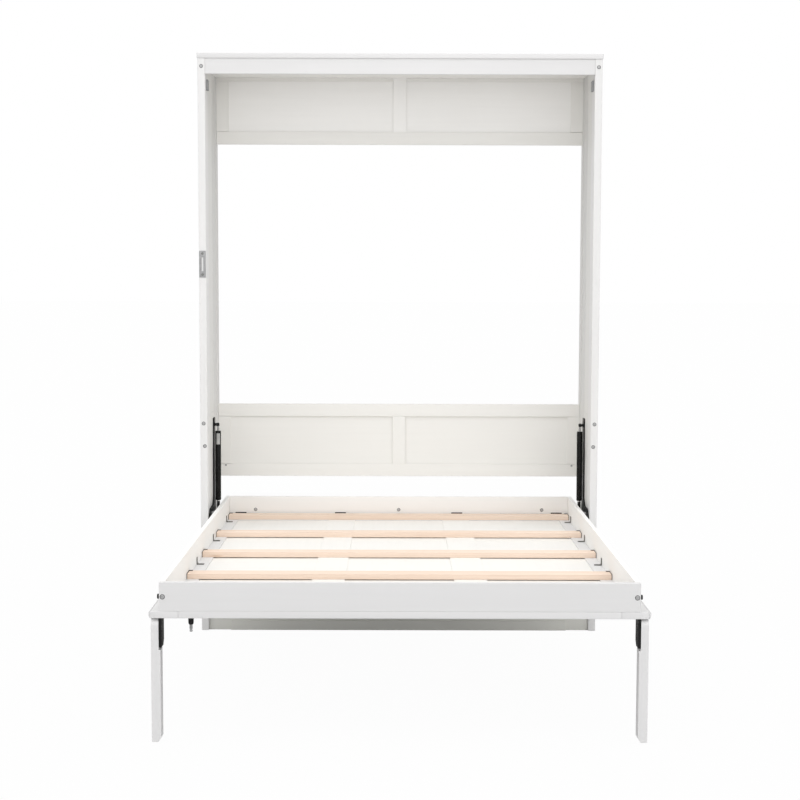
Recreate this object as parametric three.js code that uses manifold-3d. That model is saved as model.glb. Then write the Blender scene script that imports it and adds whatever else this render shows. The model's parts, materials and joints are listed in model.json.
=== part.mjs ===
// Full-size vertical wall bed, open, without its mattress. Millimetres, +Z up, +X to the right of
// somebody who stands at the foot and looks at the cabinet. The model is drawn with y = 0 on the front
// faces of the cabinet posts, and the whole group is then moved so that the origin is the middle of
// the footprint.

import * as THREE from 'three';
import { mergeVertices } from 'three/addons/utils/BufferGeometryUtils.js';
import Module from 'manifold-3d';

const wasm = await Module();
wasm.setup();

// Driving dimensions.
const CABINET = { half: 769, inner: 741, back: 406, top: 2202 };
const POST_DEPTH = 90;
const REAR_STILE = { front: 236, rebate: 346, inner: 737 };
const BACK_FRAME = { front: 366, sheet: 373, rear: 385 };
const BED = { foot: -1590, head: 392, railOuter: 709, railInner: 694, railBottom: 393, railTop: 479 };
const BOARD = 19;
const DOOR = { half: 735.5, bottom: 372, frameInner: 653, footRail: -1500, headRail: 300 };
const PIVOT = { y: 80, z: 450, radius: 6, depth: 12 }; // depth: of its hole in the rail
const SPRING = { x: 721, top: { y: 200, z: 790 }, bottom: { y: 188, z: 432 } };
const LEG = { y: -1567.5, z: 349, radius: 22.5, inner: 706, rebated: 711.3, outer: 734 };
const PLATE_FACE = 736; // the side of the steel hinge plates that faces the bed
const EASE = 1; // eased edge of a painted board
const THIN_EASE = 0.5;
const FIT = 0.3; // gap between pieces that turn or slide on each other

const SIDES = [['left', -1], ['right', 1]];

const MATERIALS = {
  paint: new THREE.MeshStandardMaterial({ color: '#f3f1ec', roughness: 0.45, metalness: 0 }),
  pine: new THREE.MeshStandardMaterial({ color: '#e6bf98', roughness: 0.6, metalness: 0 }),
  blackSteel: new THREE.MeshStandardMaterial({ color: '#1b1c1e', roughness: 0.5, metalness: 0.3 }),
  zinc: new THREE.MeshStandardMaterial({ color: '#b7babd', roughness: 0.35, metalness: 1 }),
  chrome: new THREE.MeshStandardMaterial({ color: '#d6d8da', roughness: 0.15, metalness: 1 }),
  greyPlastic: new THREE.MeshStandardMaterial({ color: '#8c8e8f', roughness: 0.55, metalness: 0 }),
};

const bed = new THREE.Group();

function add(name, geometry, material, parent = bed) {
  const mesh = new THREE.Mesh(geometry, material.clone());
  mesh.name = name;
  parent.add(mesh);
  return mesh;
}

// The range from a to b on the right side, or its mirror image on the left side.
function span(sign, a, b) {
  return sign > 0 ? [a, b] : [-b, -a];
}

// Corners cut back by the ease, so that the long edges of a prism are eased too.
function easedShape(corners, ease) {
  const points = [];
  corners.forEach(([x, y], i) => {
    const corner = new THREE.Vector2(x, y);
    const before = new THREE.Vector2(...corners.at(i - 1));
    const after = new THREE.Vector2(...corners[(i + 1) % corners.length]);
    for (const neighbour of [before, after]) {
      points.push(neighbour.sub(corner).normalize().multiplyScalar(ease).add(corner));
    }
  });
  return new THREE.Shape(points);
}

// A prism with eased ends between two levels along its own axis.
function extrude(shape, [from, to], ease) {
  const geometry = new THREE.ExtrudeGeometry(shape, {
    depth: to - from - 2 * ease,
    bevelEnabled: ease > 0,
    bevelThickness: ease,
    bevelSize: ease,
    bevelOffset: -ease,
    bevelSegments: 1,
    curveSegments: 12,
  });
  return geometry.translate(0, 0, from + ease);
}

// Outline seen from above, in (x, y), standing along Z.
function upright(corners, levels, ease = EASE) {
  return extrude(easedShape(corners, ease), levels, ease);
}

function box([x0, x1], [y0, y1], levels, ease = EASE) {
  return upright([[x0, y0], [x1, y0], [x1, y1], [x0, y1]], levels, ease);
}

// Outline seen from the side, in (y, z), lying along X.
const SIDEWAYS = new THREE.Matrix4().makeBasis(
  new THREE.Vector3(0, 1, 0),
  new THREE.Vector3(0, 0, 1),
  new THREE.Vector3(1, 0, 0),
);

function sideways(shape, across, ease) {
  return extrude(shape, across, ease).applyMatrix4(SIDEWAYS);
}

function roundPath(kind, y, z, radius) {
  return new kind().absarc(y, z, radius, 0, 2 * Math.PI, false);
}

function disc(across, y, z, radius, ease = 0) {
  return sideways(roundPath(THREE.Shape, y, z, radius), across, ease);
}

// A turned piece about an X axis through (y, z). Its profile holds [radius, distance from the middle
// of the bed] pairs that start and end on the axis.
function turned(profile, sign, y, z) {
  const points = profile.map(([radius, along]) => new THREE.Vector2(radius, along));
  const basis = new THREE.Matrix4().makeBasis(
    new THREE.Vector3(0, -sign, 0),
    new THREE.Vector3(sign, 0, 0),
    new THREE.Vector3(0, 0, 1),
  );
  return new THREE.LatheGeometry(points, 24).applyMatrix4(basis).translate(0, y, z);
}

function solid(geometry) {
  const bare = geometry.clone();
  bare.deleteAttribute('normal');
  bare.deleteAttribute('uv');
  const merged = mergeVertices(bare);
  return new wasm.Manifold(new wasm.Mesh({
    numProp: 3,
    vertProperties: Float32Array.from(merged.attributes.position.array),
    triVerts: Uint32Array.from(merged.index.array),
  }));
}

function geometryOf(manifold) {
  const { vertProperties, triVerts } = manifold.getMesh();
  const geometry = new THREE.BufferGeometry();
  geometry.setAttribute('position', new THREE.BufferAttribute(vertProperties, 3));
  geometry.setIndex(new THREE.BufferAttribute(triVerts, 1));
  geometry.computeVertexNormals();
  return geometry;
}

function join(...geometries) {
  return geometryOf(geometries.map(solid).reduce((whole, piece) => whole.add(piece)));
}

function cut(geometry, ...tools) {
  return geometryOf(tools.map(solid).reduce((whole, tool) => whole.subtract(tool), solid(geometry)));
}

// ---- Cabinet ----

function cabinetTop() {
  const { inner, top, back } = CABINET;
  add('crown_board', box([-772, 772], [-2, back], [top, top + 20], 2), MATERIALS.paint);
  add('valance', box([-inner, inner], [2, 2 + BOARD], [2144, top]), MATERIALS.paint);
  const front = 2 + BOARD;
  const { rebate, inner: stile } = REAR_STILE;
  const outline = [
    [-inner, front], [inner, front], [inner, rebate], [stile, rebate],
    [stile, BACK_FRAME.front], [-stile, BACK_FRAME.front], [-stile, rebate], [-inner, rebate],
  ];
  add('top_panel', upright(outline, [top - 30, top]), MATERIALS.paint);
}

const SIDE_RAILS = { bottom: [0, 140], middle: [700, 842], top: [2100, CABINET.top] };
const SIDE_PANELS = { lower: [140, 700], upper: [842, 2100] };

function cabinetSide(side, sign) {
  const { half, inner, back, top } = CABINET;
  add(`front_post_${side}`, box(span(sign, inner, half), [0, POST_DEPTH], [0, top], 1.5), MATERIALS.paint);
  const bay = [POST_DEPTH, REAR_STILE.front];
  for (const [place, levels] of Object.entries(SIDE_RAILS)) {
    add(`side_frame_${place}_rail_${side}`, box(span(sign, inner, half), bay, levels), MATERIALS.paint);
  }
  for (const [place, levels] of Object.entries(SIDE_PANELS)) {
    add(`side_panel_${place}_${side}`, box(span(sign, 742, 757), bay, levels, THIN_EASE), MATERIALS.paint);
  }
  const { front, rebate, inner: stile } = REAR_STILE;
  const outline = [
    [inner, front], [half, front], [half, back], [stile, back], [stile, rebate], [inner, rebate],
  ].map(([x, y]) => [sign * x, y]);
  if (sign < 0) outline.reverse();
  add(`rear_stile_${side}`, upright(outline, [0, top]), MATERIALS.paint);
}

// One framed field of the back: rails at the given levels, a centre stile and a thin sheet between.
function backField(name, rails, [bottom, top]) {
  const { front, sheet, rear } = BACK_FRAME;
  const across = [-REAR_STILE.inner, REAR_STILE.inner];
  for (const [place, levels] of Object.entries(rails)) {
    add(`${name}_${place}_rail`, box(across, [front, rear], levels), MATERIALS.paint);
  }
  add(`${name}_centre_stile`, box([-26, 26], [front, sheet], [bottom, top], THIN_EASE), MATERIALS.paint);
  add(`${name}_panel`, box(across, [sheet, sheet + 9], [bottom, top], THIN_EASE), MATERIALS.paint);
}

function baseBoard() {
  const { inner } = CABINET;
  const board = box([-inner, inner], [12, 12 + BOARD], [0, 125]);
  const batten = box([-655, 655], [4, 14], [0, 37]);
  add('base_board', join(board, batten), MATERIALS.paint);
}

function hingePlate(side, sign) {
  const outline = easedShape(
    [[2, 400], [234, 400], [234, 817], [188, 817], [188, 504], [148, 474], [50, 474], [2, 440]],
    4,
  );
  outline.holes.push(roundPath(THREE.Path, PIVOT.y, PIVOT.z, PIVOT.radius + FIT));
  const plate = sideways(outline, span(sign, PLATE_FACE, CABINET.inner), THIN_EASE);
  const stud = disc(span(sign, 729, PLATE_FACE + 1), SPRING.top.y, SPRING.top.z, 5);
  add(`hinge_plate_${side}`, join(plate, stud), MATERIALS.blackSteel);
}

function latchCatch(side, sign) {
  const body = box(span(sign, 734, CABINET.inner), [34, 72], [2086, 2126]);
  add(`latch_catch_${side}`, body, MATERIALS.greyPlastic);
}

function strikePlate() {
  const plate = box([-768, -743], [-2, 0], [1373, 1475], THIN_EASE);
  const slot = box([-759, -752], [-4, 2], [1397, 1450], 0);
  add('strike_plate', cut(plate, slot), MATERIALS.zinc);
}

// ---- Bed frame and door ----

function bedRails() {
  const { foot, head, railOuter, railInner, railBottom, railTop } = BED;
  for (const [side, sign] of SIDES) {
    const outline = easedShape(
      [[foot + BOARD, railBottom], [head, railBottom], [head, railTop], [foot + BOARD, railTop]],
      EASE,
    );
    const rail = sideways(outline, span(sign, railInner, railOuter), EASE);
    const depth = span(sign, railOuter - PIVOT.depth, railOuter + 1);
    const hole = disc(depth, PIVOT.y, PIVOT.z, PIVOT.radius + FIT);
    add(`bed_side_rail_${side}`, cut(rail, hole), MATERIALS.paint);
  }
  const levels = [railBottom, railTop];
  add('bed_foot_rail', box([-railOuter, railOuter], [foot, foot + BOARD], levels), MATERIALS.paint);
  add('bed_head_rail', box([-railInner, railInner], [head - BOARD, head], levels), MATERIALS.paint);
}

const SLAT = { half: 692, width: 64, thickness: 18, fronts: [300, -165, -628, -1060] };

function slats() {
  const { half, width, thickness, fronts } = SLAT;
  fronts.forEach((front, i) => {
    const slat = box([-half, half], [front, front + width], [BED.railBottom, BED.railBottom + thickness]);
    add(`slat_${i + 1}`, slat, MATERIALS.pine);
  });
}

const DOOR_SHEET = { bottom: 384, top: 390 };
const DOOR_MID_RAIL = [-150, -50];
const DOOR_INNER_STILE = [178, 285];

function doorFrame() {
  const { half, bottom, frameInner, footRail, headRail } = DOOR;
  const { foot, head, railBottom } = BED;
  const levels = [bottom, railBottom];
  for (const [side, sign] of SIDES) {
    add(`door_stile_${side}`, box(span(sign, frameInner, half), [foot, head], levels), MATERIALS.paint);
  }
  const across = [-frameInner, frameInner];
  add('door_foot_rail', box(across, [foot, footRail], levels), MATERIALS.paint);
  add('door_head_rail', box(across, [headRail, head], levels), MATERIALS.paint);
}

// The sheet, with flat strips glued to its outer face that carry on the pattern of the frame.
function doorPanel() {
  const { bottom, frameInner, footRail, headRail } = DOOR;
  const across = [-frameInner, frameInner];
  const sheet = box(across, [footRail, headRail], [DOOR_SHEET.bottom, DOOR_SHEET.top], THIN_EASE);
  const levels = [bottom, DOOR_SHEET.bottom + 2];
  const middle = box([1 - frameInner, frameInner - 1], DOOR_MID_RAIL, levels, 0);
  const lengthwise = [footRail + 1, headRail - 1];
  const stiles = SIDES.map(([, sign]) => box(span(sign, ...DOOR_INNER_STILE), lengthwise, levels, 0));
  add('door_panel', join(sheet, middle, ...stiles), MATERIALS.paint);
}

// The middle rail and the inner stiles lie on the sheet and are halved into each other.
function doorGrid() {
  const { frameInner, footRail, headRail } = DOOR;
  const { top: low } = DOOR_SHEET;
  const high = BED.railBottom;
  const halfway = (low + high) / 2;
  const [near, far] = DOOR_MID_RAIL;
  const notches = SIDES.map(([, sign]) => {
    const [x0, x1] = span(sign, ...DOOR_INNER_STILE);
    return box([x0 - FIT, x1 + FIT], [near - 5, far + 5], [low - 5, halfway], 0);
  });
  const rail = box([-frameInner, frameInner], DOOR_MID_RAIL, [low, high], THIN_EASE);
  add('door_middle_rail', cut(rail, ...notches), MATERIALS.paint);
  for (const [side, sign] of SIDES) {
    const across = span(sign, ...DOOR_INNER_STILE);
    const stile = box(across, [footRail, headRail], [low, high], THIN_EASE);
    const notch = box([across[0] - 5, across[1] + 5], [near - FIT, far + FIT], [halfway - FIT, high + 5], 0);
    add(`door_inner_stile_${side}`, cut(stile, notch), MATERIALS.paint);
  }
}

// ---- Hardware on the bed ----

function pivotPin(side, sign) {
  const { radius, depth } = PIVOT;
  const { railOuter } = BED;
  const collar = radius + 3;
  const [start, end] = [railOuter - depth + FIT, CABINET.inner - FIT];
  const profile = [
    [0, start], [radius, start], [radius, railOuter + FIT], [collar, railOuter + FIT],
    [collar, PLATE_FACE - FIT], [radius, PLATE_FACE - FIT], [radius, end], [0, end],
  ];
  add(`pivot_pin_${side}`, turned(profile, sign, PIVOT.y, PIVOT.z), MATERIALS.zinc);
}

function latchKnob(side, sign) {
  const x = BED.railOuter;
  const profile = [
    [0, x], [4, x], [4, x + 2], [6.5, x + 2], [7.5, x + 3], [7.5, x + 6], [6.5, x + 7], [0, x + 7],
  ];
  add(`latch_knob_${side}`, turned(profile, sign, -1575, 435), MATERIALS.blackSteel);
}

function lowerStud(side, sign) {
  const x = BED.railOuter;
  const profile = [[0, x], [8, x], [8, x + 2], [5, x + 2], [5, x + 7], [0, x + 7]];
  add(`spring_stud_${side}`, turned(profile, sign, SPRING.bottom.y, SPRING.bottom.z), MATERIALS.blackSteel);
}

function legBracket(side, sign) {
  const { foot } = BED;
  const outer = LEG.rebated - FIT;
  const inner = outer - 8.5;
  const outline = easedShape(
    [[foot, 284], [foot + 42, 284], [foot + 56, 299], [foot + 56, DOOR.bottom], [foot, DOOR.bottom]],
    EASE,
  );
  const plate = sideways(outline, span(sign, inner, outer), THIN_EASE);
  const under = [DOOR.bottom - 2, DOOR.bottom];
  const flange = box(span(sign, inner - 24, inner + 2), [foot + 16, foot + 56], under, THIN_EASE);
  const pin = disc(span(sign, inner + 2, LEG.outer - 1), LEG.y, LEG.z, 4);
  add(`leg_bracket_${side}`, join(plate, flange, pin), MATERIALS.blackSteel);
}

// The leg's inner face is cut back at the top, where the bracket lies in it.
function leg(side, sign) {
  const { y, z, radius, inner, rebated, outer } = LEG;
  const outline = new THREE.Shape();
  outline.moveTo(y - radius, 0);
  outline.lineTo(y + radius, 0);
  outline.lineTo(y + radius, z);
  outline.absarc(y, z, radius, 0, Math.PI, false);
  outline.holes.push(roundPath(THREE.Path, y, z, 4 + FIT));
  const post = sideways(outline, span(sign, inner, outer), THIN_EASE);
  const corner = new THREE.Shape([
    new THREE.Vector2(sign * (inner - 2), -2),
    new THREE.Vector2(sign * (inner + 10), -2),
    new THREE.Vector2(sign * (inner - 2), 16),
  ]);
  const wedge = new THREE.ExtrudeGeometry(corner, { depth: 60, bevelEnabled: false });
  wedge.rotateX(Math.PI / 2).translate(0, y + 30, 0);
  const rebate = box(span(sign, inner - 2, rebated), [y - 30, y + 30], [z - 72, z + 30], 0);
  add(`leg_${side}`, cut(post, wedge, rebate), MATERIALS.paint);
}

// ---- Gas springs ----

// Radii, and distances from the upper ball centre along the spring.
const STRUT = {
  eye: 7, neck: 4, body: 11, rod: 4, socket: 4.7,
  bodyTop: -25, boreTop: -33, rodTop: -37, bodyEnd: -302, socketTop: -309,
};

// The group's origin is the upper ball centre, and its -Y axis points along the spring to the lower one.
function springGroup(sign) {
  const { x, top, bottom } = SPRING;
  const group = new THREE.Group();
  group.position.set(sign * x, top.y, top.z);
  group.rotation.x = Math.atan2(top.z - bottom.z, top.y - bottom.y);
  bed.add(group);
  return group;
}

function lathe(profile) {
  return new THREE.LatheGeometry(profile.map(([radius, along]) => new THREE.Vector2(radius, along)), 24);
}

function eye([x0, x1], along) {
  return disc([x0, x1], along, 0, STRUT.eye, THIN_EASE);
}

function gasSpring(side, sign) {
  const { neck, body, rod, socket, bodyTop, bodyEnd, boreTop, rodTop, socketTop } = STRUT;
  const { x, top, bottom } = SPRING;
  const length = Math.hypot(top.z - bottom.z, top.y - bottom.y);
  const group = springGroup(sign);
  const [eyeIn, eyeOut] = [716.5 - x, 728.5 - x];
  const shell = lathe([
    [0, boreTop], [rod + FIT, boreTop], [rod + FIT, bodyEnd], [body - 1.5, bodyEnd], [body, bodyEnd + 2],
    [body, bodyTop - 4], [neck, bodyTop], [neck, -4], [0, -4],
  ]);
  const upperEye = eye(span(sign, eyeIn, eyeOut), 0);
  add(`spring_cylinder_${side}`, join(shell, upperEye), MATERIALS.blackSteel, group);
  const stem = lathe([
    [0, 4 - length], [socket, 4 - length], [socket, socketTop], [rod, socketTop], [rod, rodTop - 1],
    [rod - 1, rodTop], [0, rodTop],
  ]);
  const lowerEye = eye(span(sign, eyeIn, 730 - x), -length);
  add(`spring_rod_${side}`, join(stem, lowerEye), MATERIALS.chrome, group);
}

// ---- Assembly ----

cabinetTop();
backField('upper_back', { bottom: [1908, 1958] }, [1958, CABINET.top]);
backField('lower_back', { top: [810, 861], bottom: [565, 615] }, [615, 810]);
baseBoard();
strikePlate();
bedRails();
slats();
doorFrame();
doorPanel();
doorGrid();
for (const [side, sign] of SIDES) {
  cabinetSide(side, sign);
  hingePlate(side, sign);
  latchCatch(side, sign);
  pivotPin(side, sign);
  latchKnob(side, sign);
  lowerStud(side, sign);
  legBracket(side, sign);
  leg(side, sign);
  gasSpring(side, sign);
}

// Move the origin from the post fronts to the middle of the footprint.
bed.position.y = -(BED.foot + CABINET.back) / 2;

export default bed;
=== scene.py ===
"""The looks of a full-size wall bed, open on its folding legs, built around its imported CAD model.

Everything is in metres in the CAD model's row frame: +Z up, +Y from the foot of the bed to the wall.
Painted boards, slats and flat steel are CAD nodes with procedural materials and softened edges. Turned
hardware and gas springs replace their plain CAD nodes, and fasteners, braces and trim are added.
"""

import json
import math

import bmesh
import bpy
from mathutils import Matrix, Vector


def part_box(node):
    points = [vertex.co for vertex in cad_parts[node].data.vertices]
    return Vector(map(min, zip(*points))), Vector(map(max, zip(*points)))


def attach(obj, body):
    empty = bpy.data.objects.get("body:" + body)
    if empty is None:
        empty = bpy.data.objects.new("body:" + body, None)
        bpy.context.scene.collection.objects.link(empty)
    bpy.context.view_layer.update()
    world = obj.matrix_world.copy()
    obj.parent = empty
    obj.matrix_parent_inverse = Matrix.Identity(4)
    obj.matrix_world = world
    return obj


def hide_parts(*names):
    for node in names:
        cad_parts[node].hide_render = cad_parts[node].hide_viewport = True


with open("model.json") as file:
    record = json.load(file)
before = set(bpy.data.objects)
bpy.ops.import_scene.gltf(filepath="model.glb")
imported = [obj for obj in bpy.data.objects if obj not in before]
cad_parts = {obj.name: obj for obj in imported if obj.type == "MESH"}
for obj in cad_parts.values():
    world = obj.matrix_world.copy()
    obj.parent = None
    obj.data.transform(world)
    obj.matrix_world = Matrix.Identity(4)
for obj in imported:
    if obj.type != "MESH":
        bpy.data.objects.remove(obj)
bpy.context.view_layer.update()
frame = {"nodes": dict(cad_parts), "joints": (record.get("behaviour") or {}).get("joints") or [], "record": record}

SIDES = (("left", -1), ("right", 1))
X, Y, Z = Vector((1, 0, 0)), Vector((0, 1, 0)), Vector((0, 0, 1))
FLUSH = 0.0004  # how far a countersunk head stands proud of its surface
PLATE_THICKNESS = 0.005  # of the steel hinge plates
PANEL_SHEET = 0.004  # from the door panel's upper face to a level inside its sheet, below which the panel is painted in the darker tint as shade
END_STRIP, TOP_STRIP = 0.049, 0.044  # widths of the strips round the back
JOINT = 0.0010  # gap that shows where those strips meet a rail
SEAM = 0.0003  # gap between boards that meet
SLOT_OF = {part["node"]: part["material_slot"] for part in frame["record"]["subparts"]}


def joint(name):
    return next(j for j in frame["joints"] if j["name"] == name)


# ---- Camera, light and stage ----

AMBIENT, TOP_LIGHT, FRONT_LIGHT, SIDE_LIGHT, FILL_POWER = 0.70, 1.12, 0.55, 0.5, 4.0
FLOOR = 0.6  # albedo of the floor
FLOOR_WHITE, WORLD_WHITE = 0.97, 1.0  # shares of plain white in what the camera sees of them


def make_camera():
    """The viewpoint is a little above the bed's middle height, looking slightly down along the bed."""
    data = bpy.data.cameras.new("camera")
    data.sensor_width = 36
    data.lens = 75.15
    data.shift_y = 0.04
    camera = bpy.data.objects.new("camera", data)
    camera.location = (-0.0165, -5.8445, 1.3651)
    tilt, yaw, roll = 0.0907, -0.0031, 0.0028
    pitch = math.pi / 2 - tilt
    turn = Matrix.Rotation(yaw, 3, "Z") @ Matrix.Rotation(pitch, 3, "X") @ Matrix.Rotation(roll, 3, "Z")
    camera.rotation_euler = turn.to_euler()
    bpy.context.scene.collection.objects.link(camera)
    bpy.context.scene.camera = camera


def soft_sun(name, direction, strength, spread):
    """A broad white source far away: it shines along the direction, equally on everything."""
    data = bpy.data.lights.new(name, "SUN")
    data.energy = strength
    data.angle = math.radians(spread)
    light = bpy.data.objects.new(name, data)
    light.rotation_mode = "QUATERNION"
    light.rotation_quaternion = Vector(direction).to_track_quat("-Z", "Y")
    bpy.context.scene.collection.objects.link(light)


def soft_box(name, location, direction, power, width, height):
    """A lit rectangle near the object, which no view shows."""
    data = bpy.data.lights.new(name, "AREA")
    data.shape = "RECTANGLE"
    data.size, data.size_y = width, height
    data.energy = power
    light = bpy.data.objects.new(name, data)
    light.location = location
    light.rotation_mode = "QUATERNION"
    light.rotation_quaternion = Vector(direction).to_track_quat("-Z", "Z")
    light.visible_camera = False
    bpy.context.scene.collection.objects.link(light)


def white_to_the_camera(tree, shader, output, share):
    """Mixes plain white into what the camera sees of a backdrop; the light it throws stays as it is."""
    white = tree.nodes.new("ShaderNodeEmission")
    white.inputs["Strength"].default_value = 1.0
    path = tree.nodes.new("ShaderNodeLightPath")
    part = tree.nodes.new("ShaderNodeMath")
    part.operation = "MULTIPLY"
    part.inputs[1].default_value = share
    choice = tree.nodes.new("ShaderNodeMixShader")
    tree.links.new(path.outputs["Is Camera Ray"], part.inputs[0])
    tree.links.new(part.outputs["Value"], choice.inputs["Fac"])
    tree.links.new(shader, choice.inputs[1])
    tree.links.new(white.outputs["Emission"], choice.inputs[2])
    tree.links.new(choice.outputs["Shader"], output)


def make_world():
    """White behind the object, and a dimmer even light on it."""
    world = bpy.data.worlds.new("studio")
    world.use_nodes = True
    tree = world.node_tree
    lit = tree.nodes["Background"]
    lit.inputs["Color"].default_value = (1, 1, 1, 1)
    lit.inputs["Strength"].default_value = AMBIENT
    surface = tree.nodes["World Output"].inputs["Surface"]
    white_to_the_camera(tree, lit.outputs["Background"], surface, WORLD_WHITE)
    bpy.context.scene.world = world


def make_studio():
    """Even white light from above, in front and both sides, a small fill over the bed, and a floor that the
    camera sees nearly white."""
    make_world()
    bpy.context.scene.view_settings.view_transform = "Standard"
    soft_sun("top_light", (0.05, 0.25, -1), TOP_LIGHT, spread=70)
    soft_sun("front_light", (-0.2, 1, -0.15), FRONT_LIGHT, spread=60)
    for name, sign in SIDES:
        soft_sun(f"{name}_light", (-sign, 0.35, -0.9), SIDE_LIGHT, spread=50)
    soft_box("fill_light", (0, -1.2, 2.1), Y, FILL_POWER, width=1.6, height=0.8)
    bpy.ops.mesh.primitive_plane_add(size=200)
    floor = bpy.context.object
    floor.name = "floor"
    material, tree, bsdf = new_material("floor", (FLOOR, FLOOR, FLOOR), 0.8)
    bsdf.inputs["Specular IOR Level"].default_value = 0.2
    surface = tree.nodes["Material Output"].inputs["Surface"]
    white_to_the_camera(tree, bsdf.outputs["BSDF"], surface, FLOOR_WHITE)
    floor.data.materials.append(material)


# ---- Materials ----


def new_material(name, colour, roughness, metallic=0.0):
    material = bpy.data.materials.new(name)
    material.use_nodes = True
    tree = material.node_tree
    bsdf = tree.nodes["Principled BSDF"]
    bsdf.inputs["Base Color"].default_value = (*colour, 1)
    bsdf.inputs["Roughness"].default_value = roughness
    bsdf.inputs["Metallic"].default_value = metallic
    return material, tree, bsdf


def coordinates(tree, scale=(1, 1, 1), offset=(0, 0, 0)):
    """Object coordinates, so that a pattern moves with its piece."""
    source = tree.nodes.new("ShaderNodeTexCoord")
    mapping = tree.nodes.new("ShaderNodeMapping")
    mapping.inputs["Scale"].default_value = scale
    mapping.inputs["Location"].default_value = offset
    tree.links.new(source.outputs["Object"], mapping.inputs["Vector"])
    return mapping.outputs["Vector"]


def noise(tree, vector, scale, detail=3.0, distortion=0.0):
    node = tree.nodes.new("ShaderNodeTexNoise")
    node.inputs["Scale"].default_value = scale
    node.inputs["Detail"].default_value = detail
    node.inputs["Distortion"].default_value = distortion
    tree.links.new(vector, node.inputs["Vector"])
    return node.outputs["Fac"]


def ramp(tree, factor, stops):
    """Colours, or greys for numbers, at places from 0 to 1."""
    node = tree.nodes.new("ShaderNodeValToRGB")
    elements = node.color_ramp.elements
    while len(elements) < len(stops):
        elements.new(0.5)
    for element, (place, colour) in zip(elements, stops):
        element.position = place
        element.color = (*colour, 1) if hasattr(colour, "__len__") else (colour, colour, colour, 1)
    tree.links.new(factor, node.inputs["Fac"])
    return node.outputs["Color"]


def mixed(tree, factor, a, b, blend="MIX"):
    node = tree.nodes.new("ShaderNodeMix")
    node.data_type = "RGBA"
    node.blend_type = blend
    for socket, value in (("Factor_Float", factor), ("A_Color", a), ("B_Color", b)):
        target = next(s for s in node.inputs if s.identifier == socket)
        if hasattr(value, "links"):
            tree.links.new(value, target)
        else:
            target.default_value = value
    return next(s for s in node.outputs if s.identifier == "Result_Color")


def bump(tree, bsdf, heights):
    """Chained bumps: (height, distance in metres, strength) from the coarsest to the finest."""
    normal = None
    for height, distance, strength in heights:
        node = tree.nodes.new("ShaderNodeBump")
        node.inputs["Strength"].default_value = strength
        node.inputs["Distance"].default_value = distance
        tree.links.new(height, node.inputs["Height"])
        if normal is not None:
            tree.links.new(normal, node.inputs["Normal"])
        normal = node.outputs["Normal"]
    tree.links.new(normal, bsdf.inputs["Normal"])


def along(axis, fine, coarse):
    """A scale that stretches a pattern along one axis, as grain is."""
    return tuple(coarse if i == axis else fine for i in range(3))


def paint_material(name, axis, tint, shaded_below=None):
    """Satin white paint on a board whose grain runs along the axis: a faint grain relief, the stipple of a foam
    roller, and slight changes of tone and gloss. The tint is one of the tints that paint light and shade into the
    white. shaded_below is a pair: a darker tint painted as shade on what lies below a level, and the level."""
    material, tree, bsdf = new_material(name, tint, 0.42)
    broad = noise(tree, coordinates(tree), 2.3, 2.0)
    grain = noise(tree, coordinates(tree, along(axis, 60.0, 2.2)), 1.0, 5.0, 0.4)
    stipple = noise(tree, coordinates(tree), 900.0, 1.0)
    darker = tuple(c * 0.98 for c in tint)
    tone = ramp(tree, broad, [(0.3, darker), (0.7, tint)])
    if shaded_below:
        below, level = shaded_below
        height = tree.nodes.new("ShaderNodeSeparateXYZ")
        tree.links.new(coordinates(tree), height.inputs["Vector"])
        above = tree.nodes.new("ShaderNodeMath")
        above.operation = "GREATER_THAN"
        above.inputs[1].default_value = level
        tree.links.new(height.outputs["Z"], above.inputs[0])
        # Below the level the darker tint paints shade.
        tone = mixed(tree, above.outputs["Value"], (*below, 1), tone)
    shade = ramp(tree, grain, [(0.25, 0.985), (0.6, 1.0)])
    tree.links.new(mixed(tree, 1.0, tone, shade, "MULTIPLY"), bsdf.inputs["Base Color"])
    tree.links.new(ramp(tree, grain, [(0.3, 0.5), (0.75, 0.38)]), bsdf.inputs["Roughness"])
    bump(tree, bsdf, [(grain, 0.0004, 0.35), (stipple, 0.0001, 0.25)])
    return material


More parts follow.
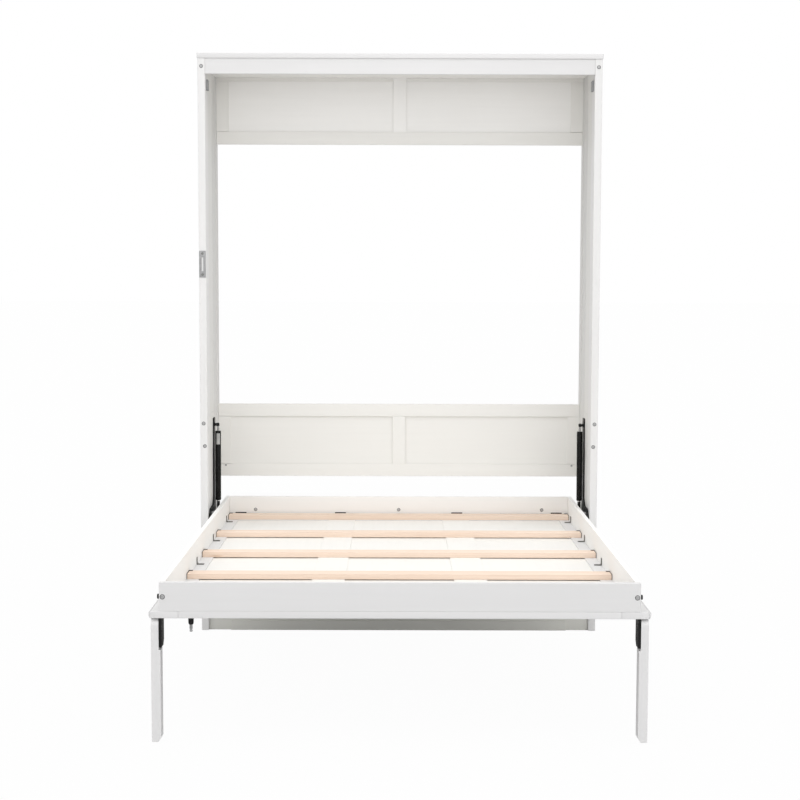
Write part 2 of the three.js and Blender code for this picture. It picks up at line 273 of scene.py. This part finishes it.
def pine_material(name, centre, seed):
    """Planed pale pine with its grain along X: wavy growth lines, fine pores and an occasional faint knot."""
    material, tree, bsdf = new_material(name, (0.83, 0.68, 0.54), 0.6)
    local = tuple(-c for c in centre)
    wander = noise(tree, coordinates(tree, (1.6, 9.0, 9.0), (seed * 3.1, 0, 0)), 1.0, 3.0, 0.6)
    rings = tree.nodes.new("ShaderNodeTexWave")
    rings.wave_type = "RINGS"
    rings.rings_direction = "X"
    rings.wave_profile = "SAW"
    rings.inputs["Scale"].default_value = 34.0
    rings.inputs["Distortion"].default_value = 5.5
    rings.inputs["Detail"].default_value = 2.0
    rings.inputs["Detail Scale"].default_value = 0.35
    pith = (local[0] * 0.05, local[1] + 0.012 * seed, local[2] + 0.055)
    tree.links.new(coordinates(tree, (0.05, 1.0, 1.0), pith), rings.inputs["Vector"])
    fibres = noise(tree, coordinates(tree, (14.0, 900.0, 900.0)), 1.0, 4.0)
    growth = [(0.0, (0.83, 0.67, 0.54)), (0.72, (0.79, 0.60, 0.47)), (1.0, (0.68, 0.47, 0.35))]
    lines = ramp(tree, rings.outputs["Fac"], growth)
    pale = ramp(tree, wander, [(0.3, (0.86, 0.72, 0.61)), (0.7, (0.80, 0.64, 0.52))])
    wood = mixed(tree, 0.38, pale, lines)
    speckle = ramp(tree, fibres, [(0.3, 0.94), (0.6, 1.0)])
    wood = mixed(tree, 1.0, wood, speckle, "MULTIPLY")
    knots = tree.nodes.new("ShaderNodeTexVoronoi")
    knots.inputs["Scale"].default_value = 1.0
    tree.links.new(coordinates(tree, (2.6, 15.0, 15.0), (seed * 1.7, seed, 0.4)), knots.inputs["Vector"])
    spots = ramp(tree, knots.outputs["Distance"], [(0.02, 0.6), (0.09, 0.0)])
    wood = mixed(tree, spots, wood, (0.55, 0.34, 0.20, 1))
    tree.links.new(wood, bsdf.inputs["Base Color"])
    tree.links.new(ramp(tree, fibres, [(0.2, 0.7), (0.8, 0.55)]), bsdf.inputs["Roughness"])
    bump(tree, bsdf, [(rings.outputs["Fac"], 0.0002, 0.15), (fibres, 0.00015, 0.3)])
    return material


def coated_steel(name, colour, roughness):
    """Powder coat: an orange-peel surface with slightly uneven gloss and dust."""
    material, tree, bsdf = new_material(name, colour, roughness)
    bsdf.inputs["Specular IOR Level"].default_value = 0.2
    peel = noise(tree, coordinates(tree), 420.0, 2.0)
    dust = noise(tree, coordinates(tree), 35.0, 5.0)
    lighter = tuple(c * 1.8 + 0.003 for c in colour)
    tree.links.new(ramp(tree, dust, [(0.45, colour), (0.8, lighter)]), bsdf.inputs["Base Color"])
    gloss = ramp(tree, dust, [(0.3, roughness - 0.06), (0.7, roughness + 0.12)])
    tree.links.new(gloss, bsdf.inputs["Roughness"])
    bump(tree, bsdf, [(peel, 0.0003, 0.25)])
    return material


def plated_metal(name, colour, low, high):
    """Zinc plate or chrome: cloudy reflections and fine scratches."""
    material, tree, bsdf = new_material(name, colour, low, 1.0)
    cloud = noise(tree, coordinates(tree), 90.0, 4.0)
    scratches = noise(tree, coordinates(tree, (900.0, 60.0, 900.0)), 1.0, 2.0)
    darker = tuple(c * 0.82 for c in colour)
    tree.links.new(ramp(tree, cloud, [(0.35, darker), (0.65, colour)]), bsdf.inputs["Base Color"])
    tree.links.new(ramp(tree, cloud, [(0.3, high), (0.7, low)]), bsdf.inputs["Roughness"])
    bump(tree, bsdf, [(scratches, 0.00005, 0.2)])
    return material


def moulded_plastic(name, colour, roughness):
    material, tree, bsdf = new_material(name, colour, roughness)
    bsdf.inputs["Specular IOR Level"].default_value = 0.3
    texture = noise(tree, coordinates(tree), 700.0, 2.0)
    gloss = ramp(tree, texture, [(0.3, roughness - 0.05), (0.7, roughness + 0.08)])
    tree.links.new(gloss, bsdf.inputs["Roughness"])
    bump(tree, bsdf, [(texture, 0.0002, 0.3)])
    return material


# Tints of the one white paint that stand in for light and shade. "low", "side", "front", "rear" and "base" are
# painted shade: darker on the foot rail, door edges, legs, crown, valance, sides, posts, rear stiles and the base
# board under the bed. "bright" is painted light on the upper back, the top and the bed's rails.
LIGHT_AND_SHADE_TINTS = {
    "front": (0.78, 0.775, 0.77),
    "low": (0.73, 0.725, 0.725),
    "rear": (0.68, 0.675, 0.66),
    "side": (0.745, 0.74, 0.72),
    "inside": (0.83, 0.82, 0.79),
    "bright": (0.90, 0.89, 0.87),
    "base": (0.72, 0.715, 0.67),
}
paints_by_light = {
    (label, axis): paint_material(f"paint_{label}_{'xyz'[axis]}", axis, tint)
    for label, tint in LIGHT_AND_SHADE_TINTS.items()
    for axis in range(3)
}
black_steel = coated_steel("black_steel", (0.006, 0.006, 0.006), 0.42)
spring_black = coated_steel("spring_black", (0.002, 0.002, 0.0015), 0.25)
black_plastic = moulded_plastic("black_plastic", (0.005, 0.005, 0.005), 0.5)
label_film = moulded_plastic("label_film", (0.80, 0.80, 0.78), 0.4)
zinc = plated_metal("zinc", (0.40, 0.40, 0.405), 0.3, 0.48)
bright_zinc = plated_metal("bright_zinc", (0.50, 0.50, 0.50), 0.3, 0.45)
dark_zinc = plated_metal("dark_zinc", (0.17, 0.17, 0.16), 0.4, 0.55)
shadow_zinc = plated_metal("shadow_zinc", (0.06, 0.06, 0.06), 0.5, 0.6)
chrome = plated_metal("chrome", (0.78, 0.79, 0.81), 0.06, 0.14)
grey_plastic = moulded_plastic("grey_plastic", (0.30, 0.305, 0.31), 0.5)
METALS = {
    "black_steel": black_steel,
    "black_plastic": black_plastic,
    "grey_plastic": grey_plastic,
    "zinc": zinc,
    "chrome_rod": chrome,
}


# ---- CAD nodes that stay ----

WELD = 1e-5  # corners nearer than this are one corner
GENTLE = math.radians(55)  # an edge that turns by less than this is shaded smooth


def soft_edge_nodes():
    """Joins the split corners of an imported mesh and shades it smooth over the eased edges, which are half
    right angles, but not over square ones."""
    group = bpy.data.node_groups.new("soft_edges", "GeometryNodeTree")
    group.interface.new_socket("Geometry", in_out="INPUT", socket_type="NodeSocketGeometry")
    group.interface.new_socket("Geometry", in_out="OUTPUT", socket_type="NodeSocketGeometry")
    start, end = group.nodes.new("NodeGroupInput"), group.nodes.new("NodeGroupOutput")
    merge = group.nodes.new("GeometryNodeMergeByDistance")
    merge.inputs["Distance"].default_value = WELD
    faces = group.nodes.new("GeometryNodeSetShadeSmooth")
    faces.domain = "FACE"
    edges = group.nodes.new("GeometryNodeSetShadeSmooth")
    edges.domain = "EDGE"
    angle = group.nodes.new("GeometryNodeInputMeshEdgeAngle")
    gentle = group.nodes.new("FunctionNodeCompare")
    gentle.data_type = "FLOAT"
    gentle.operation = "LESS_THAN"
    gentle.inputs[1].default_value = GENTLE
    group.links.new(start.outputs[0], merge.inputs["Geometry"])
    group.links.new(merge.outputs["Geometry"], faces.inputs["Geometry"])
    group.links.new(faces.outputs["Geometry"], edges.inputs["Geometry"])
    group.links.new(angle.outputs["Unsigned Angle"], gentle.inputs[0])
    group.links.new(gentle.outputs["Result"], edges.inputs["Shade Smooth"])
    group.links.new(edges.outputs["Geometry"], end.inputs[0])
    return group


soft_edges = soft_edge_nodes()


def soften(obj):
    smooth = obj.modifiers.new("soft_edges", "NODES")
    smooth.node_group = soft_edges
    normals = obj.modifiers.new("weighted_normals", "WEIGHTED_NORMAL")
    normals.keep_sharp = True


# Which nodes take which tint of painted light or shade.
PAINT_OF = (
    ("base", ("base_board",)),
    ("low", ("bed_foot_rail", "door_foot", "door_head", "door_stile", "leg_", "crown", "valance")),
    ("rear", ("rear_stile",)),
    ("side", ("side_panel", "side_frame")),
    ("front", ("front_post",)),
    ("bright", ("upper_back_panel", "upper_back_centre", "top_panel", "bed_side_rail", "bed_head_rail")),
)


def paint_of(node):
    """The tint of white on a node, which paints light and shade: the darker tints stand for shade on faces towards
    the foot, the sides, the posts, the rear stiles and the base board, the bright one for light on the top, the
    upper back and the bed's rails, and the rest of the inside takes a warmer white.
    """
    return next((label for label, starts in PAINT_OF if node.startswith(starts)), "inside")


def node_material(node):
    low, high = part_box(node)
    size = high - low
    slot = SLOT_OF[node]
    if slot == "pine":
        number = int(node[-1])
        return pine_material(f"pine_{number}", (low + high) / 2, number)
    if node == "door_panel":
        # The panel's sheet below its upper face takes the darker low tint: painted shade.
        return paint_material("paint_panel", 1, LIGHT_AND_SHADE_TINTS["inside"], (LIGHT_AND_SHADE_TINTS["low"], high.z - PANEL_SHEET))
    if slot == "white_paint":
        return paints_by_light[paint_of(node), max(range(3), key=lambda i: size[i])]
    return METALS[slot]


def finish_cad_nodes():
    for node, obj in frame["nodes"].items():
        obj.data.materials.clear()
        obj.data.materials.append(node_material(node))
        soften(obj)


# ---- Mesh building ----

SHARP = math.radians(40)  # edges of added pieces that turn by more than this stay sharp


def placed(origin, x_axis, y_axis):
    """A frame at the origin whose third axis is x cross y."""
    z_axis = x_axis.cross(y_axis)
    return Matrix.Translation(origin) @ Matrix((x_axis, y_axis, z_axis)).transposed().to_4x4()


def facing(origin, normal):
    """A frame whose third axis is the normal."""
    side = normal.orthogonal().normalized()
    return placed(origin, side, normal.normalized().cross(side))


def revolve(bm, profile, place, segments=48, shapes=None):
    """Turns (radius, height) pairs about the third axis of the frame. A profile that starts or ends on the
    axis is closed there. shapes maps a profile index to a function of the angle that scales its radius."""
    shapes = shapes or {}
    rings = []
    for i, (radius, height) in enumerate(profile):
        if radius < 1e-7:
            rings.append([bm.verts.new(place @ Vector((0, 0, height)))])
            continue
        ring = []
        for k in range(segments):
            turn = 2 * math.pi * k / segments
            r = radius * (shapes[i](turn) if i in shapes else 1)
            ring.append(bm.verts.new(place @ Vector((r * math.cos(turn), r * math.sin(turn), height))))
        rings.append(ring)
    for low, high in zip(rings, rings[1:]):
        for k in range(segments):
            n = (k + 1) % segments
            corners = [low[k % len(low)], low[n % len(low)], high[n % len(high)], high[k % len(high)]]
            bm.faces.new(list(dict.fromkeys(corners)))


def extrude(bm, outline, depth, place):
    """A prism of (x, y) corners, half its depth on each side of the frame's origin."""
    rings = [
        [bm.verts.new(place @ Vector((x, y, z))) for x, y in outline]
        for z in (-depth / 2, depth / 2)
    ]
    bm.faces.new(rings[0][::-1])
    bm.faces.new(rings[1])
    for i, a in enumerate(rings[0]):
        j = (i + 1) % len(outline)
        bm.faces.new([a, rings[0][j], rings[1][j], rings[1][i]])


def add_box(bm, low, high):
    middle = (Vector(low) + Vector(high)) / 2
    half = (Vector(high) - Vector(low)) / 2
    corners = [(-half.x, -half.y), (half.x, -half.y), (half.x, half.y), (-half.x, half.y)]
    extrude(bm, corners, 2 * half.z, Matrix.Translation(middle))


def piece(name, bm, material, body, replaces=(), bevel=0.0):
    """Makes an object of the mesh, smooth but for its sharper edges, with its material, and gives it its body."""
    bmesh.ops.recalc_face_normals(bm, faces=bm.faces)
    mesh = bpy.data.meshes.new(name)
    bm.to_mesh(mesh)
    bm.free()
    mesh.polygons.foreach_set("use_smooth", [True] * len(mesh.polygons))
    mesh.set_sharp_from_angle(angle=SHARP)
    mesh.materials.append(material)
    obj = bpy.data.objects.new(name, mesh)
    bpy.context.scene.collection.objects.link(obj)
    if bevel:
        edges = obj.modifiers.new("eased_edges", "BEVEL")
        edges.width = bevel
        edges.segments = 2
        edges.limit_method = "ANGLE"
        edges.harden_normals = True
    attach(obj, body)
    if replaces:
        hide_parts(*replaces)


def hexagon(turn):
    """A round ring's scale that makes it a hexagon."""
    return math.cos(math.pi / 6) / math.cos((turn % (math.pi / 3)) - math.pi / 6)


def cross(turn):
    """A round ring's scale that makes it the cross of a driver recess."""
    off = abs((turn + math.pi / 4) % (math.pi / 2) - math.pi / 4)
    return 1.0 if off < 0.2 else 0.42


def socket_bolt(heads, rings, centre, normal, radius, height):
    """A round connector bolt head with a hexagon socket, standing in a dark flush ring that is the painted shadow
    of its counterbore.
    """
    key = radius * 0.45
    profile = [
        (0, 0), (radius, 0), (radius, height * 0.55), (radius * 0.93, height * 0.88), (radius * 0.84, height),
        (key * 1.12, height), (key, height * 0.9), (key, height * 0.12), (0, height * 0.12),
    ]
    revolve(heads, profile, facing(centre, normal), shapes={5: hexagon, 6: hexagon, 7: hexagon})
    # The dark ring is painted shade: a flush disc round the head where the counterbore's shadow falls.
    edge = radius * 1.26
    profile = [(radius * 1.01, 0), (edge, 0), (edge, FLUSH / 2), (edge * 0.97, FLUSH), (radius * 1.01, FLUSH)]
    revolve(rings, [*profile, (radius * 1.01, 0)], facing(centre, normal))


def screw_head(bm, centre, normal, radius):
    """A flat screw head with a cross recess. It sits in its surface with a thin proud rim."""
    sunk = -0.0012
    profile = [
        (0, sunk), (radius * 0.9, sunk), (radius, 0), (radius, FLUSH * 0.6), (radius * 0.94, FLUSH),
        (radius * 0.6, FLUSH), (radius * 0.42, sunk * 0.6), (0, sunk * 0.6),
    ]
    revolve(bm, profile, facing(centre, normal), 40, shapes={5: cross, 6: cross})


# ---- Fasteners and braces ----


def bolts(name, body, places, radius, height):
    """Connector bolts in faces that look towards the foot."""
    heads, rings = bmesh.new(), bmesh.new()
    for place in places:
        socket_bolt(heads, rings, Vector(place), -Y, radius, height)
    piece(name, heads, bright_zinc, body)
    piece(f"{name}_counterbore_shadows", rings, shadow_zinc, body)


def post_bolts():
    """Three connector bolts in the front face of each post: one at the top and two at the middle rail."""
    places = []
    for side, sign in SIDES:
        low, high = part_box(f"front_post_{side}")
        middle = (low.x + high.x) / 2
        for outward, height in ((0.0, 2.172), (0.001, 0.811), (-0.003, 0.723)):
            places.append((middle + sign * outward, low.y, height))
    bolts("post_bolts", "cabinet", places, radius=0.0056, height=0.0016)


def foot_rail_bolts():
    low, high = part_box("bed_foot_rail")
    from_end = 0.0100
    places = [(sign * (high.x - from_end), low.y, (low.z + high.z) / 2) for _, sign in SIDES]
    bolts("foot_rail_bolts", "bed", places, radius=0.0060, height=0.0016)


def head_rail_bolts():
    low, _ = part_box("bed_head_rail")
    spacing, rise = 0.588, 0.032
    places = [(x, low.y, low.z + rise) for x in (-spacing, 0.0, spacing)]
    bolts("head_rail_bolts", "bed", places, radius=0.0054, height=0.0022)


def back_bolts():
    low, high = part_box("lower_back_bottom_rail")
    from_middle, drop = 0.708, 0.006
    places = [(sign * from_middle, low.y, high.z - drop) for _, sign in SIDES]
    bolts("back_bolts", "cabinet", places, radius=0.0029, height=0.0012)


def brace(bm, corner, inward, width, reach, height, thickness):
    """An angle brace in the corner between an upright face and the door: its legs run inward and up."""
    t, bend = thickness, thickness * 1.6
    outline = [(0, bend), (bend * 0.3, bend * 0.3), (bend, 0), (reach, 0), (reach, t), (bend + t, t)]
    outline += [(t + bend * 0.3, t + bend * 0.3), (t, bend + t), (t, height), (0, height)]
    extrude(bm, outline, width, placed(corner, inward, Z))


def bed_braces():
    """Angle braces that hold the bed's rails on the door: four along each side, and four along the head,
    whose feet end at the first slat. The side braces have a screw in each leg."""
    side_braces, head_braces, screws = bmesh.new(), bmesh.new(), bmesh.new()
    door_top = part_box("door_stile_left")[1].z
    thickness, leg, width = 0.002, 0.025, 0.018
    head_width, head_height = 0.045, 0.0212
    screw_place, screw_radius = leg * 0.62, 0.0042
    for side, sign in SIDES:
        low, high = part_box(f"bed_side_rail_{side}")
        face = low.x if sign > 0 else high.x
        for y in (0.826, 0.334, -0.182, -0.705):
            corner = Vector((face, y, door_top))
            brace(side_braces, corner, -sign * X, width, leg, leg, thickness)
            screw_head(screws, corner - sign * X * screw_place + Z * thickness, Z, screw_radius)
            screw_head(screws, corner + Z * screw_place - sign * X * thickness, -sign * X, screw_radius)
    face, slat_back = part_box("bed_head_rail")[0].y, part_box("slat_1")[1].y
    for x in (-0.648, -0.239, 0.239, 0.648):
        corner = Vector((x, face, door_top))
        brace(head_braces, corner, -Y, head_width, face - slat_back - FLUSH, head_height, thickness)
    piece("side_rail_braces", side_braces, dark_zinc, "bed", bevel=0.0003)
    piece("head_rail_braces", head_braces, black_steel, "bed", bevel=0.0003)
    piece("brace_screws", screws, dark_zinc, "bed")


def slat_brackets():
    """A thin steel bracket on each end of each slat, screwed down on it: it stands between the slat and the
    side rail, and its lip lies on the slat."""
    brackets, screws = bmesh.new(), bmesh.new()
    thickness, gap, lip, width = 0.0012, 0.0002, 0.012, 0.011
    for number in range(1, 5):
        low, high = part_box(f"slat_{number}")
        top = high.z + gap + thickness
        for _, sign in SIDES:
            end = high.x + gap
            across = sorted((sign * end, sign * (end + thickness)))
            add_box(brackets, (across[0], low.y + gap, low.z), (across[1], high.y - gap, top - thickness))
            across = sorted((sign * (end - lip), sign * (end + thickness)))
            add_box(brackets, (across[0], high.y - width, top - thickness), (across[1], high.y - gap, top))
            screw_head(screws, Vector((sign * (end - lip / 2), high.y - width / 2, top)), Z, 0.0035)
    piece("slat_brackets", brackets, black_steel, "bed")
    piece("slat_screws", screws, dark_zinc, "bed")


def plate_face(side):
    """How far the bed's side of a hinge plate is from the middle of the bed. A stud stands on the plate."""
    low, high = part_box(f"hinge_plate_{side}")
    return max(-low.x, high.x) - PLATE_THICKNESS


def hinge_plate_screws():
    """Five in a row along each plate's back edge, and three more in its wide lower part."""
    bm = bmesh.new()
    inset, radius = 0.025, 0.0048
    for side, sign in SIDES:
        low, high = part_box(f"hinge_plate_{side}")
        back, bottom, top = high.y, low.z, high.z
        row = back - inset
        places = [(row, top - 0.075), (row, top - 0.150), (row, top - 0.225), (row, bottom + 0.075)]
        places += [(back - 0.075, bottom + 0.020), (row, bottom + 0.020)]
        places += [(low.y + 0.018, bottom + 0.018), (low.y + 0.112, bottom + 0.072)]
        for y, z in places:
            screw_head(bm, Vector((sign * plate_face(side), y, z)), -sign * X, radius)
    piece("hinge_plate_screws", bm, dark_zinc, "cabinet")


def strike_plate_screws():
    bm = bmesh.new()
    low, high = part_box("strike_plate")
    from_end, radius = 0.011, 0.0045
    for z in (low.z + from_end, high.z - from_end):
        screw_head(bm, Vector(((low.x + high.x) / 2, low.y, z)), -Y, radius)
    piece("strike_plate_screws", bm, dark_zinc, "cabinet")


def leg_bracket_screws():
    """Two screws up through each bracket's flange into the door."""
    bm = bmesh.new()
    flange, from_inner_edge, radius = 0.002, 0.011, 0.0042
    for side, sign in SIDES:
        low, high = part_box(f"leg_bracket_{side}")
        inner = low.x if sign > 0 else high.x
        for y in (high.y - 0.031, high.y - 0.010):
            screw_head(bm, Vector((inner + sign * from_inner_edge, y, high.z - flange)), -Z, radius)
    piece("leg_bracket_screws", bm, zinc, "bed")


def back_edges():
    """The strips that frame the two fields of the back: end stiles, and the upper field's top rail."""
    bm = bmesh.new()
    for field in ("upper", "lower"):
        low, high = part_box(f"{field}_back_centre_stile")
        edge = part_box(f"{field}_back_bottom_rail")[1].x
        top = high.z - TOP_STRIP if field == "upper" else high.z
        for _, sign in SIDES:
            ends = sorted((sign * (edge - END_STRIP), sign * edge))
            add_box(bm, (ends[0], low.y, low.z + JOINT), (ends[1], high.y, top - SEAM))
            if field == "upper":
                ends = sorted((sign * (high.x + SEAM), sign * edge))
                add_box(bm, (ends[0], low.y, top), (ends[1], high.y, high.z))
    piece("back_edge_strips", bm, paints_by_light["inside", 2], "cabinet", bevel=0.0008)


# ---- Hardware that replaces plain CAD nodes ----


def turned(name, profile, place, material, body, node=None):
    """A turned piece, which stands for a CAD node if one is named."""
    bm = bmesh.new()
    revolve(bm, profile, place)
    piece(name, bm, material, body, [node] if node else [])


def axle_frame(node, sign):
    """A frame on the axis of a turned node that lies along X, with its third axis outward; its origin is at
    the node's inner end. Also gives the node's length."""
    low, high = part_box(node)
    inner = low.x if sign > 0 else high.x
    middle = (low + high) / 2
    return facing(Vector((inner, middle.y, middle.z)), sign * X), high.x - low.x


def pivot_pins():
    """A pin set in the rail, with a collar that spaces the rail from the hinge plate."""
    for side, sign in SIDES:
        place, end = axle_frame(f"pivot_pin_{side}", sign)
        start = abs(place.translation.x)
        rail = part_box(f"bed_side_rail_{side}")
        collar = max(-rail[0].x, rail[1].x) + SEAM - start
        plate = plate_face(side) - SEAM - start
        profile = [
            (0, 0), (0.0054, 0), (0.006, 0.0006), (0.006, collar), (0.0082, collar),
            (0.009, collar + 0.0008), (0.009, plate - 0.0008), (0.0082, plate), (0.006, plate),
            (0.006, end - 0.0006), (0.0054, end), (0, end),
        ]
        turned(f"hinge_pin_{side}", profile, place, zinc, "bed", f"pivot_pin_{side}")


def latch_knobs():
    """The closing knobs near the bed's foot end: a rounded button on a short neck."""
    for side, sign in SIDES:
        node = f"latch_knob_{side}"
        place, end = axle_frame(node, sign)
        profile = [
            (0, 0), (0.0040, 0), (0.0040, 0.0018), (0.0064, 0.0020), (0.0072, 0.0024), (0.0075, 0.0032),
            (0.0075, 0.0054), (0.0072, end - 0.0008), (0.0064, end - 0.0002), (0.0050, end), (0, end),
        ]
        turned(f"closing_knob_{side}", profile, place, black_plastic, "bed", node)


def ball_studs():
    """The lower ball stud of each gas spring, screwed to the outside of the side rail."""
    radius, half_height = 0.0050, 0.0020
    turns = (-0.9, -0.45, 0, 0.45, 0.9, 1.3)
    ball = [(radius * math.cos(a), radius + half_height * math.sin(a)) for a in turns]
    base = [(0, 0), (0.0080, 0), (0.0080, 0.0016), (0.0074, 0.0020), (0.0040, 0.0020), (0.0034, 0.0030)]
    for side, sign in SIDES:
        node = f"spring_stud_{side}"
        place, end = axle_frame(node, sign)
        profile = [*base, *ball, (0, end)]
        turned(f"ball_stud_{side}", profile, place, black_steel, "bed", node)


def spring_frame(side):
    """The frame of a gas spring: origin at the upper eye, third axis along the rod towards the bed."""
    direction = Vector(joint(f"rod_slide_{side}")["axis"]).normalized()
    return placed(Vector(joint(f"spring_swing_{side}")["pos_m"]), X, direction.cross(X).normalized())


def eye(bm, centre, sign, outward):
    """A moulded ball socket across a spring's end: a short drum with rounded rims and a dish in both faces.
    It reaches further outward than inward from the spring's axis."""
    inward, radius, rim, dish = 0.0045, 0.0068, 0.0014, 0.0012
    half = (inward + outward) / 2
    profile = [
        (0, -half + dish), (0.0038, -half + dish), (0.0044, -half), (radius - rim, -half),
        (radius, -half + rim), (radius, half - rim), (radius - rim, half), (0.0044, half),
        (0.0038, half - dish), (0, half - dish),
    ]
    revolve(bm, profile, facing(centre + sign * X * (outward - half), X))


def gas_springs():
    """A black painted cylinder with a flat top and a crimp near its end, a thin plated neck above it, a
    chromed rod below it, and a moulded ball socket at each end."""
    top, end, body = 0.0250, 0.302, 0.011
    for side, sign in SIDES:
        place = spring_frame(side)
        stud_low, stud_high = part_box(f"spring_stud_{side}")
        stud = (stud_low + stud_high) / 2
        length = (Vector((0, stud.y, stud.z)) - Vector((0, *place.translation[1:]))).length
        shell = [
            (0, top), (0.0094, top), (0.0104, top + 0.0005), (body, top + 0.0018),
            (body, end - 0.0160), (0.0106, end - 0.0150), (0.0106, end - 0.0130), (body, end - 0.0120),
            (body, end - 0.0040), (0.0104, end - 0.0015), (0.0090, end), (0.0062, end),
            (0.0056, end - 0.0010), (0.0043, end - 0.0010), (0.0043, end - 0.0300), (0, end - 0.0300),
        ]
        node = f"spring_cylinder_{side}"
        turned(f"gas_cylinder_{side}", shell, place, spring_black, f"cylinder_{side}", node)
        neck = [(0, 0.0050), (0.0032, 0.0050), (0.0032, 0.0140), (0.0040, 0.0146), (0.0040, top), (0, top)]
        turned(f"spring_neck_{side}", neck, place, zinc, f"cylinder_{side}")
        bm = bmesh.new()
        eye(bm, place.translation, sign, 0.0075)
        piece(f"upper_eye_{side}", bm, black_plastic, f"cylinder_{side}")
        rod_end = length - 0.0200
        rod = [(0, 0.0370), (0.0030, 0.0370), (0.0040, 0.0380), (0.0040, rod_end), (0, rod_end)]
        turned(f"gas_rod_{side}", rod, place, chrome, f"rod_{side}", f"spring_rod_{side}")
        bm = bmesh.new()
        stem = [
            (0, 0.3060), (0.0048, 0.3060), (0.0055, 0.3070), (0.0055, length - 0.0140),
            (0.0046, length - 0.0120), (0.0046, length - 0.0050), (0, length - 0.0050),
        ]
        revolve(bm, stem, place)
        eye(bm, place @ Vector((0, 0, length)), sign, 0.0090)
        piece(f"lower_eye_{side}", bm, black_plastic, f"rod_{side}")


def stud_nuts():
    """The hexagon nuts that hold the upper ball studs on the hinge plates."""
    bm = bmesh.new()
    hole, across, height = 0.0050, 0.0078, 0.0042
    profile = [(hole, 0), (across, 0), (across, 0.0034), (0.0070, height), (hole, height), (hole, 0)]
    for side, sign in SIDES:
        place = spring_frame(side)
        centre = Vector((sign * plate_face(side), *place.translation[1:]))
        revolve(bm, profile, facing(centre, -sign * X), shapes={1: hexagon, 2: hexagon})
    piece("stud_nuts", bm, black_steel, "cabinet")


def spring_label():
    """A blank white film on the front of the left cylinder."""
    place = spring_frame("left")
    bm = bmesh.new()
    rows = []
    radius, thickness, steps = 0.01108, 0.0001, 16
    first_turn, turn_span, upper_end, lower_end = 46, 76, 0.035, 0.079
    turns = [math.radians(first_turn + turn_span * k / steps) for k in range(steps + 1)]
    for height in (upper_end, lower_end):
        rows.append([
            bm.verts.new(place @ Vector((radius * math.cos(a), radius * math.sin(a), height)))
            for a in turns
        ])
    for k in range(steps):
        bm.faces.new([rows[0][k], rows[0][k + 1], rows[1][k + 1], rows[1][k]])
    bmesh.ops.solidify(bm, geom=bm.faces[:], thickness=thickness)
    piece("spring_label", bm, label_film, "cylinder_left")


def lock_knob():
    """A spring-loaded knob under the door, near its left end: a black grip and a zinc pin."""
    low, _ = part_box("door_foot_rail")
    across, from_edge, grip = -0.6175, 0.020, 0.0215
    place = facing(Vector((across, low.y + from_edge, low.z)), -Z)
    bm = bmesh.new()
    profile = [
        (0, 0), (0.0088, 0), (0.0090, 0.0020), (0.0082, 0.0030), (0.0080, 0.0145), (0.0074, 0.0195),
        (0.0062, grip), (0, grip),
    ]
    revolve(bm, profile, place)
    piece("lock_knob", bm, black_plastic, "bed")
    bm = bmesh.new()
    pin = [
        (0, grip), (0.0045, grip), (0.0045, 0.0345), (0.0036, 0.0355), (0.0036, 0.0385), (0.0044, 0.0395),
        (0.0044, 0.0420), (0.0034, 0.0435), (0, 0.0435),
    ]
    revolve(bm, pin, place)
    piece("lock_pin", bm, zinc, "bed")


def leg_pivot_caps():
    """The nearly flat cap of each leg's pivot, on the leg's outer face."""
    for side, sign in SIDES:
        _, y, z = joint(f"leg_fold_{side}")["pos_m"]
        low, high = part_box(f"leg_{side}")
        face = high.x if sign > 0 else -low.x
        bm = bmesh.new()
        profile = [(0, 0), (0.0085, 0), (0.0085, 0.0002), (0.0080, 0.0006), (0.0045, 0.0009), (0, 0.0010)]
        revolve(bm, [(r, face + h) for r, h in profile], facing(Vector((0, y, z)), sign * X))
        piece(f"leg_pivot_cap_{side}", bm, black_steel, f"leg_{side}")


def door_edge_mouldings():
    """A thin moulding with a bevelled lower edge along each side of the door, from its foot end to a place in
    front of the hinge plates."""
    length, reach, lower_bevel = 1.29, 0.0045, 0.008
    upper_drop, upper_inset = 0.003, 0.002
    for side, sign in SIDES:
        low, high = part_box(f"door_stile_{side}")
        face = high.x if sign > 0 else -low.x
        end = low.y + length
        outline = [
            (0, low.z), (reach, low.z + lower_bevel), (reach, high.z - upper_drop),
            (reach - upper_inset, high.z), (0, high.z),
        ]
        bm = bmesh.new()
        middle = Vector((sign * (face + SEAM), (low.y + end) / 2, 0))
        extrude(bm, outline, end - low.y, placed(middle, sign * X, Z))
        piece(f"door_edge_moulding_{side}", bm, paints_by_light["low", 1], "bed", bevel=0.0005)


make_camera()
make_studio()
finish_cad_nodes()
post_bolts()
foot_rail_bolts()
head_rail_bolts()
back_bolts()
back_edges()
bed_braces()
slat_brackets()
hinge_plate_screws()
strike_plate_screws()
leg_bracket_screws()
pivot_pins()
latch_knobs()
ball_studs()
gas_springs()
stud_nuts()
spring_label()
lock_knob()
leg_pivot_caps()
door_edge_mouldings()
